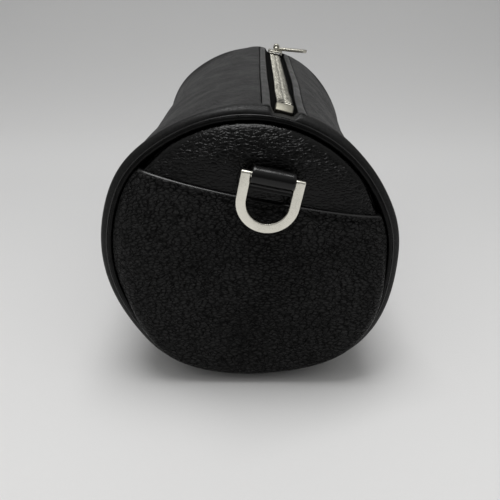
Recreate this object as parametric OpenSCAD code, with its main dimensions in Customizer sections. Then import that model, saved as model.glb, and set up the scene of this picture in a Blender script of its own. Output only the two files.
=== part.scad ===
// Small leather barrel bag with a zip along its top and a slip pocket and a D-ring on each end.
// Y runs along the barrel, the near end is at -Y, X points right and Z up. The bag lies on z = 0,
// rolled a little to its right, and the origin is under its middle.

/* [Barrel] */
// Radius of the barrel at its rims
barrel_r = 65; // [50:0.5:90]
// Distance between the two rims
barrel_len = 205; // [150:1:300]
// Angle that the bag is rolled to its right, seen from its near end
roll = 13.8; // [0:0.1:25]
// Depth that the soft underside is pressed flat by the floor
settle = 1; // [0.4:0.1:3]
// Depth that the sides are drawn in, midway between the rims
waist = 3.5; // [0:0.1:6]
// Bulge of the lower right corner
sag_right = 4; // [0:0.1:5]
// Bulge of the lower left corner
sag_left = 1.8; // [0:0.1:5]
// Thickness of the barrel's leather
leather_t = 2; // [1.2:0.1:3]
// Thickness of the lining cloth
lining_t = 0.8; // [0.4:0.1:1.5]
// Radius of the rolled edge at each rim
edge_r = 2.3; // [1:0.1:2.4]
// Length of the closed band between each rim and the zip
rim_band = 6; // [5:0.1:12]

/* [Mouth] */
// Length at each end where the mouth stays closed
mouth_end = 37; // [32:0.5:50]
// Angle round the barrel from the zip to the fold that each lip turns on
lip_span = 95; // [60:1:110]

/* [Zip] */
// Half of the opening between the two leather strips
open_half = 7; // [5.6:0.1:12]
// Width of each leather strip beside the zip
strip_w = 3.8; // [2:0.1:8]
// Thickness of the strips
strip_t = 1.9; // [1:0.1:1.9]
// Thickness of the zip tape
tape_t = 0.6; // [0.3:0.05:0.8]
// Distance from one tooth to the next on the same tape
pitch = 2.4; // [2.3:0.05:4]
// Length of one tooth along the zip
tooth_len = 1; // [0.5:0.05:1.1]
// Half of the width of the closed chain
tooth_w = 3.6; // [3:0.1:4]
// Height of a tooth
tooth_h = 2.4; // [2.2:0.1:2.8]
// Length of the metal box that ends the zip at the near end
box_len = 5; // [3:0.1:8]
// Distance from the zip's near end to its box
box_inset = 1.8; // [0.4:0.1:4]
// Length of the stops that end the zip at the far end
stop_len = 2.6; // [1.5:0.1:4]

/* [Slider] */
// Length of the slider
slider_len = 11; // [9:0.1:14]
// Half of the slider's width at its wide end
slider_w = 5; // [4.9:0.1:5.4]
// Half of the slider's width at its narrow end
slider_tail_w = 4.6; // [4.5:0.1:4.9]
// Thickness of the slider's top and bottom plates
plate_t = 1.3; // [0.8:0.1:2]
// Thickness of the slider's side flanges
flange_t = 0.7; // [0.4:0.05:0.8]
// Thickness of the web that joins the two plates
web_t = 0.6; // [0.4:0.05:0.7]
// Radius of the bridge bar that carries the pull
bar_r = 1; // [0.6:0.05:1.2]
// Height of the bridge bar's centre above the top plate
bar_lift = 3; // [2.4:0.05:4]
// Length of the pull, from the bar to its tip
pull_len = 22.5; // [16:0.5:40]
// Width of the pull at its tip
pull_w = 7; // [5:0.1:12]
// Thickness of the pull
pull_t = 1.6; // [1:0.1:2]
// Angle of the resting pull above the slider's top plate
pull_rise = 6; // [4:0.1:20]

/* [Ends] */
// Height of each domed end beyond its rim
end_puff = 9; // [7:0.1:14]
// Radius of the piping round each end
piping_r = 1.5; // [1:0.1:1.9]
// Radius of the cord inside the piping
piping_core_r = 0.8; // [0.4:0.05:0.9]
// Distance from the rim's outline in to the middle of the piping
seam_inset = 4.6; // [4.5:0.1:6]
// Thickness of the slip pocket's leather
pocket_t = 1.4; // [0.8:0.1:2]
// Thickness of the end panel's leather
end_t = 1.5; // [0.8:0.1:2]
// Thickness of the foam stiffener behind each end panel
foam_t = 2.2; // [1:0.1:3]
// Height of the pocket's top edge above the barrel's axis
pocket_v = 30.4; // [20:0.2:34]
// Angle that the ends' pocket and ring are rolled to the right
end_roll = 11.2; // [0:0.1:25]

/* [Rings] */
// Inner width of the D-ring
ring_in = 17.2; // [14:0.2:24]
// Width of the ring's flat band
ring_w = 4; // [2.5:0.1:5]
// Thickness of the ring
ring_t = 2.7; // [2.4:0.1:3.2]
// Chamfer along the ring's edges
ring_chamfer = 0.4; // [0.1:0.05:0.6]
// Length from the ring's bar down to the centre of its bow
ring_drop = 10.1; // [7:0.1:14]
// Radius of the ring's bar
ring_bar_r = 1.3; // [1:0.05:1.35]
// Height of the ring's bar above the barrel's axis
ring_v = 41.5; // [40:0.1:44]
// Distance of the ring to the right of the end's middle line
ring_side = 1.9; // [-5:0.1:5]
// Distance of the hanging ring's mid plane outside the rim
ring_out = 14; // [12.5:0.1:18]
// Thickness of the leather strip that carries the ring
loop_t = 2.4; // [1.5:0.1:2.6]
// Depth of the strip's tail below the bar
loop_tail = 5.3; // [4.5:0.1:6.5]
// Height of the strip's tongue, where it goes through the end panel
loop_tongue = 3.6; // [2:0.1:3.6]

/* [Hidden] */
$fn = 64;

// Clearances
cut = 0.15;          // half of the gap between a lip and what lies beside it
run_fit = 0.06;      // radial play of a bar in its bore
slide_gap = 0.4;     // play of the slider round the teeth and the tape
seam_gap = 0.1;      // gap of the piping to the leather beside it
over = 1;            // overrun of a cut past the solid

// Colours
black = "#232325";
cloth = "#1b1b1d";
metal = "#d3cfc4";

// Barrel
rim = barrel_len / 2;
axis_h = barrel_r - settle;
zip_a = 90 - roll;
sag_left_a = 240;
sag_right_a = 312;
sag_spread = 22;
function arc(s) = s / barrel_r * 180 / PI;
function hump(a, centre) = exp(-pow((a - centre) / sag_spread, 2));
function along(y) = cos(90 * min(1, abs(y) / rim));
// Radius of the barrel's outer surface, a in degrees from the right, from zip_a to zip_a + 360
function barrel_rad(a, y) = barrel_r + sag_left * hump(a, sag_left_a)
    + sag_right * hump(a, sag_right_a) - waist * along(y) * pow(sin(a - zip_a), 2);
// Points of a wall's section, as [y, depth under the outer surface, plain radius or 0, least height]
function deep(y, off) = [y, off, 0, off];
function rolled(y, off) = [y, off, 0, max(0, off - settle)];
function ring_at(y, r) = [y, 0, r, 0];
function skin_pt(a, p) = let (r = p[2] > 0 ? p[2] : barrel_rad(a, p[0]) - p[1])
    [r * cos(a), p[0], max(axis_h + r * sin(a), p[3])];
function steps(from, to, n) = [for (i = [0 : n]) from + (to - from) * i / n];
function tail(list) = [for (i = [1 : len(list) - 1]) list[i]];

// Zip
tape_mid = strip_t + tape_t / 2;
strip_out = open_half + strip_w;
tape_slot = (tape_t + slide_gap) / 2;
slot_in = tooth_w / 2;
tape_in = slot_in + seam_gap;
lip_teeth = floor((rim - mouth_end) / pitch);
lip_half = (lip_teeth + 1 / 4) * pitch;
zip_end = rim - rim_band - cut;
box_y = -zip_end + box_inset + box_len / 2;
stop_y = zip_end - seam_gap - stop_len / 2;
slider_y = stop_y - stop_len / 2 - 2 * seam_gap - slider_len / 2;

// Folds of the lips, as angles round the barrel, and half of the angle of the slot
fold_left = zip_a + lip_span;
fold_right = zip_a + 360 - lip_span;
slot_a = arc(strip_out + cut);
lip_steps = 11;
base_steps = 22;
lip_rows = 6;

// Ends. The facets across the zip's slot are the widest, so the flange's radius allows for them
seam_r = barrel_r - seam_inset;
end_r = seam_r - piping_r - seam_gap;
flange_r = (seam_r + piping_r + seam_gap) / cos(slot_a / 2);
skirt = rim_band;
dome_power = 2.6;

// Closed wall from a grid of rows and columns. A row is [outer point, inner point] of its section,
// a column is an angle, and the columns close into a ring. keep(i, j) tells which cells are there.
module wall(rows, cols, keep) {
    nr = len(rows);
    nc = len(cols);
    function held(i, j) = i >= 0 && i < nr - 1 && keep(i, (j + nc) % nc);
    function at(i, j, side) = (side * nr + i) * nc + j % nc;
    points = [for (side = [0, 1]) for (row = rows) for (a = cols) skin_pt(a, row[side])];
    faces = [for (i = [0 : nr - 2]) for (j = [0 : nc - 1]) if (held(i, j))
        let (a = at(i, j, 0), b = at(i, j + 1, 0), c = at(i + 1, j + 1, 0), d = at(i + 1, j, 0))
        let (e = at(i, j, 1), f = at(i, j + 1, 1), g = at(i + 1, j + 1, 1), h = at(i + 1, j, 1))
        each concat([[a, b, c], [a, c, d], [e, g, f], [e, h, g]],
            held(i - 1, j) ? [] : [[a, e, f], [a, f, b]],
            held(i + 1, j) ? [] : [[d, c, g], [d, g, h]],
            held(i, j - 1) ? [] : [[a, d, h], [a, h, e]],
            held(i, j + 1) ? [] : [[c, b, f], [c, f, g]])];
    used = [for (f = faces) each f];
    slots = [for (i = [0 : len(points) - 1]) len(search(i, used)) > 0 ? 1 : 0];
    order = [for (i = 0, n = 0; i < len(points); n = n + slots[i], i = i + 1) n];
    polyhedron([for (i = [0 : len(points) - 1]) if (slots[i] == 1) points[i]],
        [for (f = faces) [for (v = f) order[v]]]);
}

// Plain strip of wall between two angles and two depths, along the rows at ys
module patch(ys, from, to, off_out, off_in, n) {
    rows = [for (y = ys) [deep(y, off_out), deep(y, off_in)]];
    wall(rows, steps(from, to, n), function(i, j) j < n);
}

// Columns of the whole barrel, from the zip's centre line round to it again
body_cols = concat([zip_a], steps(zip_a + slot_a, fold_left, lip_steps),
    tail(steps(fold_left, fold_right, base_steps)),
    tail(steps(fold_right, zip_a + 360 - slot_a, lip_steps)));
fold_col_left = 1 + lip_steps;
fold_col_right = fold_col_left + base_steps;
last_col = len(body_cols) - 1;

// Rows from the window of the mouth out to the band at each end
window_y = lip_half + cut;
end_rows = 2;
far_ys = steps(window_y, rim - rim_band, end_rows);
mid_ys = steps(-window_y, window_y, lip_rows);
near_ys = [for (i = [len(far_ys) - 1 : -1 : 1]) -far_ys[i]];
body_ys = concat(near_ys, mid_ys, tail(far_ys));
lip_ys = steps(-lip_half + cut, lip_half - cut, lip_rows);
near_zip_ys = steps(-zip_end, -window_y, end_rows);
far_zip_ys = steps(window_y, zip_end, end_rows);

// The rolled edge of one rim, from the rim inwards, with the turned-in leather behind it
edge_share = 0.3;
band_rows = [
    [rolled(rim, edge_r), ring_at(rim, flange_r)],
    [rolled(rim - edge_r * edge_share, edge_r * edge_share), ring_at(rim - rim_band / 2, flange_r)],
    [rolled(rim - edge_r, 0), ring_at(rim - rim_band, flange_r)]];
function turned(rows) = [for (row = rows) [for (p = row) [-p[0], p[1], p[2], p[3]]]];

module body_panel() {
    near_band = turned(band_rows);
    far_band = [for (i = [len(band_rows) - 1 : -1 : 0]) band_rows[i]];
    mid = [for (y = body_ys) [deep(y, 0), deep(y, leather_t)]];
    rows = concat(near_band, mid, far_band);
    first = len(near_band);
    last = first + len(body_ys) - 2;
    open_first = first + end_rows;
    open_last = last - end_rows;
    color(black) wall(rows, body_cols, function(i, j)
        i < first || i > last || (j > 0 && j < last_col
            && (i < open_first || i > open_last || (j >= fold_col_left && j < fold_col_right))));
}

module body_lining() {
    rows = [for (y = body_ys) [deep(y, leather_t), deep(y, leather_t + lining_t)]];
    last = len(rows) - 2;
    color(cloth) wall(rows, body_cols, function(i, j)
        j > 0 && j < last_col && (i < end_rows || i > last - end_rows
            || (j >= fold_col_left && j < fold_col_right)));
}

// Angles of a lip's free edge and folded edge, for the left (side 0) and the right (side 1)
module lip(side, off_out, off_in) {
    from = side == 0 ? zip_a + slot_a : fold_right + arc(2 * cut);
    to = side == 0 ? fold_left - arc(2 * cut) : zip_a + 360 - slot_a;
    patch(lip_ys, from, to, off_out, off_in, lip_steps);
}

module lip_panel(side) color(black) lip(side, 0, leather_t);
module lip_lining(side) color(cloth) lip(side, leather_t, leather_t + lining_t);

// Strip or tape on one side of the zip, from and to counted from the centre line
module zip_side(side, ys, from, to, off_out, off_in) {
    if (side == 0) patch(ys, zip_a + arc(from), zip_a + arc(to), off_out, off_in, 2);
    if (side == 1) patch(ys, zip_a + 360 - arc(to), zip_a + 360 - arc(from), off_out, off_in, 2);
}

module zip_strip(side, ys) color(black) zip_side(side, ys, open_half, strip_out, 0, strip_t);
module zip_tape(side, ys) color(cloth)
    zip_side(side, ys, tape_in, strip_out, strip_t, strip_t + tape_t);
module zip_strip_pair(ys) for (side = [0, 1]) zip_strip(side, ys);
module zip_tape_pair(ys) for (side = [0, 1]) zip_tape(side, ys);

// Local frame of the zip: x across it, y along it, z outwards from the barrel's surface
module at_zip(y) translate([0, y, axis_h]) rotate([0, roll, 0]) translate([0, 0, barrel_r])
    children();
module along_zip(length) rotate([90, 0, 0]) linear_extrude(length, center = true) children();

// Section of a tooth on the left tape, with the slot that the tape's edge sits in
web_gap = web_t / 2 + slide_gap / 2;
module tooth_shape() {
    top = tooth_h / 2 - tape_mid;
    bottom = -tooth_h / 2 - tape_mid;
    polygon([[-tooth_w, top], [-web_gap, top], [-web_gap, bottom], [-tooth_w, bottom],
        [-tooth_w, -tape_mid - tape_slot], [-slot_in, -tape_mid - tape_slot],
        [-slot_in, -tape_mid + tape_slot], [-tooth_w, -tape_mid + tape_slot]]);
}

module tooth(side, y, length) at_zip(y) mirror([side, 0, 0]) along_zip(length) tooth_shape();

// Teeth of one side that lie between two places along the zip
module teeth(side, from, to) {
    shift = side * pitch / 2;
    first = ceil((from + tooth_len / 2 - shift) / pitch);
    last = floor((to - tooth_len / 2 - shift) / pitch);
    color(metal) for (k = [first : last]) tooth(side, k * pitch + shift, tooth_len);
}

module teeth_pair(from, to) for (side = [0, 1]) teeth(side, from, to);

module zip_box() color(metal) at_zip(box_y) along_zip(box_len) {
    translate([0, -tape_mid]) difference() {
        square([2 * tooth_w, tooth_h], center = true);
        for (side = [-1, 1]) translate([side * tooth_w, 0])
            square([2 * (tooth_w - slot_in), 2 * tape_slot], center = true);
    }
}

module zip_top_stops() color(metal) for (side = [0, 1]) tooth(side, stop_y, stop_len);

// Slider
plate_low = tooth_h / 2 - tape_mid + slide_gap;
plate_high = plate_low + plate_t;
under_high = -tooth_h / 2 - tape_mid - slide_gap;
slot_high = -strip_t + slide_gap / 2;
slot_low = -strip_t - tape_t - slide_gap;
bar_z = plate_high + bar_lift;
eye_r = bar_lift - slide_gap;
eye_len = slider_len * 2 / 5;
leg_t = bar_r * 3 / 2;
leg_gap = slide_gap / 2;
neck_end = slider_w + slide_gap;

module plate_shape() {
    half = slider_len / 2;
    corner = plate_t / 2;
    polygon([[-slider_tail_w + corner, -half], [slider_tail_w - corner, -half],
        [slider_tail_w, -half + corner], [slider_tail_w, -half / 3], [slider_w, half / 3],
        [slider_w, half - corner], [slider_w - corner, half], [-slider_w + corner, half],
        [-slider_w, half - corner], [-slider_w, half / 3], [-slider_tail_w, -half / 3],
        [-slider_tail_w, -half + corner]]);
}

module slider_rail(low, high) translate([0, 0, low]) linear_extrude(high - low)
    intersection() {
        plate_shape();
        for (side = [-1, 1])
            translate([side * (slider_tail_w - flange_t / 2), 0])
                square([flange_t, 2 * slider_len], center = true);
    }

module zip_slider() color(metal) at_zip(slider_y) {
    translate([0, 0, plate_low]) linear_extrude(plate_t) plate_shape();
    translate([0, 0, under_high - plate_t]) linear_extrude(plate_t) plate_shape();
    slider_rail(slot_high, plate_low);
    slider_rail(under_high, slot_low);
    translate([-web_t / 2, slider_len / 6, under_high])
        cube([web_t, slider_len / 4, plate_low - under_high]);
    for (side = [-1, 1])
        translate([-bar_r, side * (eye_len / 2 + leg_gap + leg_t / 2) - leg_t / 2, plate_high])
            cube([2 * bar_r, leg_t, bar_lift + bar_r]);
    translate([0, 0, bar_z]) rotate([90, 0, 0])
        cylinder(h = eye_len + 2 * leg_gap, r = bar_r, center = true);
}

// Outline of the pull, x from its bar to its tip, with a round tip
tip_r = pull_w / 2;
shoulder = neck_end + pull_w / 2;
module pull_shape() {
    polygon(concat([[eye_r / 2, -eye_len / 2], [neck_end, -eye_len / 2], [shoulder, -tip_r]],
        [for (a = [-90 : 15 : 90]) [pull_len - tip_r + tip_r * cos(a), tip_r * sin(a)]],
        [[shoulder, tip_r], [neck_end, eye_len / 2], [eye_r / 2, eye_len / 2]]));
}

module zip_pull() color(metal) at_zip(slider_y) translate([0, 0, bar_z])
    rotate([0, -pull_rise, 0]) difference() {
        union() {
            rotate([90, 0, 0]) cylinder(h = eye_len, r = eye_r, center = true);
            translate([0, 0, -pull_t / 2]) linear_extrude(pull_t) pull_shape();
        }
        rotate([90, 0, 0]) cylinder(h = eye_len + over, r = bar_r + run_fit, center = true);
    }

// Local frame of an end: x to its right, y up, z outwards, from the rim's centre
module place_near() translate([0, -rim, axis_h]) rotate([0, end_roll, 0]) rotate([90, 0, 0])
    children();
module at_end(far) {
    if (far) mirror([0, 1, 0]) place_near() children();
    else place_near() children();
}

// Domed cup of the end's layers, from the depth k_out to the depth k_in under the pocket's face
cup_steps = 8;
function cup_line(k) = [for (i = [0 : cup_steps]) let (a = 90 * i / cup_steps)
    [(end_r - k) * pow(sin(a), 2 / dome_power), (end_puff - k) * pow(cos(a), 2 / dome_power)]];
module cup(k_out, k_in) {
    inner = cup_line(k_in);
    rotate_extrude() polygon(concat(cup_line(k_out), [[end_r - k_out, -skirt],
        [end_r - k_in, -skirt]], [for (i = [cup_steps : -1 : 0]) inner[i]]));
}

end_k = pocket_t + seam_gap / 2;
foam_k = end_k + end_t;
cloth_k = foam_k + foam_t;

// Slit that the tongue of the ring's strip goes through
loop_w = ring_in - 4 * cut;
tongue_low = ring_v - loop_tail;
module slit() translate([ring_side - loop_w / 2 - cut, tongue_low - cut, -skirt])
    cube([loop_w + 2 * cut, loop_tongue + 2 * cut, skirt + ring_out]);

module end_panel(far) color(black) at_end(far) difference() {
    cup(end_k, foam_k);
    slit();
}

module end_stiffener(far) color(cloth) at_end(far) difference() {
    cup(foam_k, cloth_k);
    slit();
}

module end_lining(far) color(cloth) at_end(far) cup(cloth_k, cloth_k + lining_t);

module pocket_panel(far) color(black) at_end(far) intersection() {
    cup(0, pocket_t);
    translate([-barrel_r, pocket_v - 2 * barrel_r, -barrel_r])
        cube([2 * barrel_r, 2 * barrel_r, 2 * barrel_r]);
}

module piping(far) color(black) at_end(far) rotate_extrude() translate([seam_r, 0])
    difference() {
        union() {
            circle(piping_r);
            translate([-piping_r * 2 / 3, -skirt]) square([piping_r * 4 / 3, skirt]);
        }
        circle(piping_core_r);
    }

module piping_cord(far) color(cloth) at_end(far) rotate_extrude() translate([seam_r, 0])
    circle(piping_core_r);

// The leather strip folded over the ring's bar, x along the bar
roll_r = ring_bar_r + run_fit + loop_t;
tongue_share = pow(tongue_low / (end_r - cloth_k), dome_power);
tongue_in = (end_puff - cloth_k) * pow(1 - tongue_share, 1 / dome_power);
module ring_loop(far) color(black) at_end(far) translate([ring_side - loop_w / 2, 0, 0])
    rotate([90, 0, 90]) linear_extrude(loop_w) difference() {
        union() {
            translate([ring_v, ring_out]) circle(roll_r);
            translate([tongue_low, ring_out - roll_r]) square([loop_tail, roll_r * 5 / 4]);
            translate([tongue_low, tongue_in])
                square([loop_tongue, ring_out - roll_r / 2 - tongue_in]);
        }
        translate([ring_v, ring_out]) circle(ring_bar_r + run_fit);
    }

// D-ring: two legs, a bow and a round bar, flat, with chamfered edges
ring_mid = (ring_in + ring_w) / 2;
leg_len = ring_drop + ring_bar_r;
module band_shape() {
    w = ring_w / 2;
    t = ring_t / 2;
    c = ring_chamfer;
    polygon([[-w + c, -t], [w - c, -t], [w, -t + c], [w, t - c], [w - c, t], [-w + c, t],
        [-w, t - c], [-w, -t + c]]);
}

module d_ring(far) color(metal) at_end(far) translate([ring_side, ring_v, ring_out]) {
    translate([0, -ring_drop, 0]) rotate([0, 0, 180]) rotate_extrude(angle = 180)
        translate([ring_mid, 0]) band_shape();
    for (side = [-1, 1])
        translate([side * ring_mid, -ring_drop, 0]) rotate([-90, 0, 0])
            linear_extrude(leg_len) band_shape();
    rotate([0, 90, 0]) cylinder(h = ring_in + ring_w, r = ring_bar_r, center = true);
}

body_panel();
body_lining();
lip_panel(0);  // lip_panel_left
lip_panel(1);  // lip_panel_right
lip_lining(0);  // lip_lining_left
lip_lining(1);  // lip_lining_right
zip_strip(0, lip_ys);  // zip_strip_left
zip_strip(1, lip_ys);  // zip_strip_right
zip_strip_pair(near_zip_ys);  // zip_strip_near
zip_strip_pair(far_zip_ys);  // zip_strip_far
zip_tape(0, lip_ys);  // zip_tape_left
zip_tape(1, lip_ys);  // zip_tape_right
zip_tape_pair(near_zip_ys);  // zip_tape_near
zip_tape_pair(far_zip_ys);  // zip_tape_far
teeth(0, -lip_half, lip_half);  // zip_teeth_left
teeth(1, -lip_half, lip_half);  // zip_teeth_right
teeth_pair(box_y + box_len / 2, -lip_half);  // zip_teeth_near
teeth_pair(lip_half, stop_y - stop_len / 2);  // zip_teeth_far
zip_box();
zip_top_stops();
zip_slider();
zip_pull();
end_panel(false);  // near_end_panel
end_panel(true);  // far_end_panel
pocket_panel(false);  // near_pocket_panel
pocket_panel(true);  // far_pocket_panel
end_stiffener(false);  // near_end_stiffener
end_stiffener(true);  // far_end_stiffener
end_lining(false);  // near_end_lining
end_lining(true);  // far_end_lining
piping(false);  // near_piping
piping(true);  // far_piping
piping_cord(false);  // near_piping_cord
piping_cord(true);  // far_piping_cord
ring_loop(false);  // near_ring_loop
ring_loop(true);  // far_ring_loop
d_ring(false);  // near_d_ring
d_ring(true);  // far_d_ring
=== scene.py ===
import math

import bmesh
import bpy
import numpy as np
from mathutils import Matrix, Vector


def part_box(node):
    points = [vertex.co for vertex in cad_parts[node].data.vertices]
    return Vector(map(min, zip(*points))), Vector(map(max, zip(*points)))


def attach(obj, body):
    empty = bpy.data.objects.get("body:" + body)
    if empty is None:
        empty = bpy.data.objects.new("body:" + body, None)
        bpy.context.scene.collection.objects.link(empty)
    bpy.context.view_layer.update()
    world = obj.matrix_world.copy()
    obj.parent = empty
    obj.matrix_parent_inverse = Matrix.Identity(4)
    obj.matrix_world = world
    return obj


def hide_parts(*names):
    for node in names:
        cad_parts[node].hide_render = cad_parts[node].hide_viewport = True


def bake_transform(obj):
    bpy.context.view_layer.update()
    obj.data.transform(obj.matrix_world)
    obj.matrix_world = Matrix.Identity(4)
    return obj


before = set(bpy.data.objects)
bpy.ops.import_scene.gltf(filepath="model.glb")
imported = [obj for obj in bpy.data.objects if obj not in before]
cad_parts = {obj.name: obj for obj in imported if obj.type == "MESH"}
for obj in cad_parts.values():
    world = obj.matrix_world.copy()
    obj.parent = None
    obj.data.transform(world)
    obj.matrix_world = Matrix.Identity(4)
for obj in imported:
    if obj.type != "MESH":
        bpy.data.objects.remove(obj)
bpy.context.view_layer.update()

# Sizes are in millimetres and angles in degrees, in the CAD model's frame. MM turns millimetres
# into metres, which the materials, the lamp and the floor use. A pair that is named for what it
# does to a form, such as DENT_START, says where that begins and where it is complete.
MM = 0.001

# Barrel, as part.scad has it
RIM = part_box("body_panel")[1][1] / MM
BARREL_R = 65.0
SETTLE = 1.0
AXIS_H = BARREL_R - SETTLE
ROLL = 13.8
ZIP_A = 90 - ROLL
SAGS = ((1.8, 240, 22), (4.0, 312, 22))  # lower corners: size, angle and spread
WAIST = 3.5
LEATHER_T = 2.0
LINING_T = 0.8
LINING_GAP = 0.03
RIM_BAND = 6.0
BAND_Y = RIM - RIM_BAND
FOLD = 95  # angle from the zip round to each lip's fold
FOLD_LEFT = ZIP_A + FOLD
FOLD_RIGHT = ZIP_A + 360 - FOLD

# What the soft barrel does beyond the CAD model's plain shape
HOLLOW = 1.9  # depth of the hollow behind each rim
HOLLOW_REACH = 6.0  # distance from the rim over which it falls
HOLLOW_FADE = 42.0  # distance from the rim over which it fades
OFF_ZIP = (0.04, 0.35)  # where it starts beside the zip, as a squared sine
DENT = ((3.4, 396, 22),)  # long dent in the right shoulder: size, angle and spread
DENT_START, DENT_END = (-101, -78), (5, 75)
# Further soft bulges and flats of the outline, strongest at the rims
BULGES = ((2.9, 332, 24), (1.3, 143, 16), (1.2, 232, 14), (0.9, 370, 14))
BULGE_LEAST, BULGE_GROWTH = 0.35, (40, 100)
CREST = ((1.5, 87, 7),)  # ridge along the left of the zip, at the far rim
CREST_START, CREST_END = (50, 94), (97, RIM)
# Waves of the leather: size, count round the barrel, length along it and phase
WAVES = ((0.32, 3, 17, 0.6), (0.22, 5, -11, 2.1), (0.16, 2, 7.3, 0))
WAVE_GROWTH = (3, 22)
FLOOR_SOFT = 0.9  # rounding where the leather meets the floor
ROLL_LEN, ROLL_DEPTH = 2.4, 3.3  # length and depth of the rolled edge at each rim
ROLL_TOP, ROLL_TOP_SPREAD = 5.0, 48  # its length at the near rim's top, where it slopes to the seam
ROLL_BACK = 0.25  # leather behind the rolled edge
BAND_SEAM, BAND_SEAM_COUNT = 0.1, 41  # unevenness of its seam, and how often that comes round the rim
BARREL_GRAIN, GRAIN_FADE = (0.30, 0.50), (90, 99)  # grain at the rims, and what the middle adds to it

# Zip
OPEN_HALF = 7.0
STRIP_W = 3.8
STRIP_T = 1.9
TAPE_T = 0.6
PITCH = 2.4
TOOTH_TOP, TOOTH_LOW = -1.0, -3.4
TOOTH_MID, TOOTH_HALF = (TOOTH_TOP + TOOTH_LOW) / 2, (TOOTH_TOP - TOOTH_LOW) / 2
ZIP_END, ZIP_STEP = 96.35, 2.0
STRIP_OUT = OPEN_HALF + STRIP_W
ZIP_DIP, ZIP_DIP_FAR = 3.0, 0.75  # how deep the band dips before the zip, and its share at the far end
ZIP_DIP_MIDDLE, ZIP_DIP_EDGE = -0.9, (3.8, 6.4)
PINCH, PINCH_GROWTH, PINCH_FADE = (-0.5, -2.3), (5, 88), (12, 36)
CRIMP, CRIMP_LEN, CRIMP_GROWTH = 0.06, 1.9, (0.5, 2.5)
STRIP_LIFT, STRIP_LIFT_AT = 0.12, (96, 98)
STRIP_REACH = (-99.6, -99.2, -98.6, -97.8, -97.0)  # rows of the near strips on over the rolled edge
CHAIN_LEFT, CHAIN_LEFT_AT = 0.6, (20, 88)
CHAIN_RISE, CHAIN_RISE_AT = 1.0, (50, 82)
CHAIN_TIP, CHAIN_TIP_FROM, CHAIN_TIP_LEN = 0.015, 85, 5
TAPE_TURN, TAPE_TURN_LEN = 89.6, 7
TAPE_SINK = 0.08
CHAIN_START, CHAIN_STOP = -89.0, 93.2
MOST_TEETH = 60
LEAN, LEAN_AT = 16, (78, 88)  # the near teeth lean into the box
STOP_Y, STOP_STRETCH = 94.95, 2.2
BOX_LEN, BOX_Y, BOX_HALF = 5.0, -92.05, 3.75
BOX_TILT, BOX_LIFT, BOX_CROWN = 27, 0.12, 0.22

# Slider and pull
SLIDER_Y, SLIDER_HALF = 87.95, 5.5
SLIDER_W, SLIDER_FLARE = 4.8, 0.2
PLATE_LOW, PLATE_HIGH, SOFT = 0.5, 1.5, 0.35
RAIL_X, RAIL_HALF, RAIL_LEN, RAIL_LOW = 4.56, 0.2, 4.6, -0.7
UNDER_LOW, UNDER_HIGH, UNDER_RAIL = -5.1, -3.8, -3.4
RAIL_SUNK, UNDER_SUNK = 0.5, 0.1
BAR_Z, BAR_R, BAR_HALF = 3.7, 1.0, 0.8
PLATE_TURN = 4  # the upper plate sits a little askew
PULL_LEN, PULL_W, PULL_T, PULL_RISE = 21.5, 7.0, 1.9, 9.0
PULL_LOW = 1.1  # how far the tongue lies under the eye's middle
PULL_START, PULL_STRAIGHT = 1.2, 19.0
TIP_LEN = 3.5
TIP_THIN, TIP_THIN_FROM = 0.55, 0.97
WAIST_END, WAIST_GROWTH = 5.4, (5.0, 9.2)
DISH, DISH_FROM, DISH_TO, DISH_EDGE = 0.22, 6.5, 19.5, 1.1
EYE_R, EYE_LEN, EYE_GAP = 2.2, 4.4, 0.2

# Ends
END_ROLL = 11.2
END_PUFF = 9.0
DOME_POWER, DOME_FULL = 2.6, 7.4  # how full the end's dome is, and what its lower edge adds to that
FULL_CUT, FULL_START, FULL_END = 100, (195, 240), (312, 368)
BELLY = 1.1  # how far the lower edge hangs over its seam
BELLY_W, BELLY_EDGE = (4.6, 2.4), (0.86, 0.98)
# Lumps of the dome: size, length across, length up and phase. Below them one wide swelling
LUMPS = ((0.30, 11, 17, 0.8), (0.22, -19, 9, 2.0))
SWELL, SWELL_X, SWELL_Z = 0.5, (8, 34), (-18, 26)
GATHER, GATHER_A, GATHER_EDGE = 0.26, (97, 30), (4.5, 3.4)
SEAM_INSET = 4.75
PIPING_R = 1.22
PIPING_BORE = 0.8
PIPING_OUT = 0.15
# Unevenness of the piping: size, count round the rim and phase
PIPING_WAVES = ((0.05, 61, 0), (0.04, 37, 40))
STRANDS, STRAND_R, STRAND_OFF, STRAND_TURNS = 3, 0.38, 0.36, 60
FLANGE_INSET, FLANGE_R, FLANGE_OUT = 3.5, 0.30, 0.75
EDGE_INSET = 6.2
POCKET_T = 1.4
END_T = 1.5
FOAM_T = 2.2
END_K = 1.45
TOP_K, TOP_RISE = 0.15, (1.5, 15)
FOAM_K = END_K + END_T
CLOTH_K = FOAM_K + FOAM_T
FOAM_GAP, CLOTH_GAP = 0.05, 0.08
POCKET_V = 30.9
POCKET_SAG, POCKET_SAG_REACH = 1.3, 50
POCKET_GAP = 0.05
BEAD_FORMS = ((0.25, 1.0, 0.9), (-0.24, 3.0, 0.40))  # the folded edge's bead and the crease under it
FOLD_R = 0.80  # radius of the pocket's folded edge
FOLD_FADE = (-12, -9)
FOLD_SMOOTH = 1.1
FOLD_GRAIN = 0.3  # the leather is smooth where its grain is weaker than this

# Rings
RING_U, RING_V, RING_OUT = 1.9, 41.5, 14.0
RING_IN, RING_W, RING_T = 17.2, 4.0, 2.7
RING_DROP = 10.1
RING_BAR = 1.3
END_ROUND = 0.95  # rounding of the ring's two ends
LOOP_W = 17.0
LOOP_R = 3.76
LOOP_TURNS = (196, -42)
LOOP_EDGE, LOOP_BEAD, LOOP_BEAD_AT = 0.34, 0.10, (1.6, 0.7)
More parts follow.
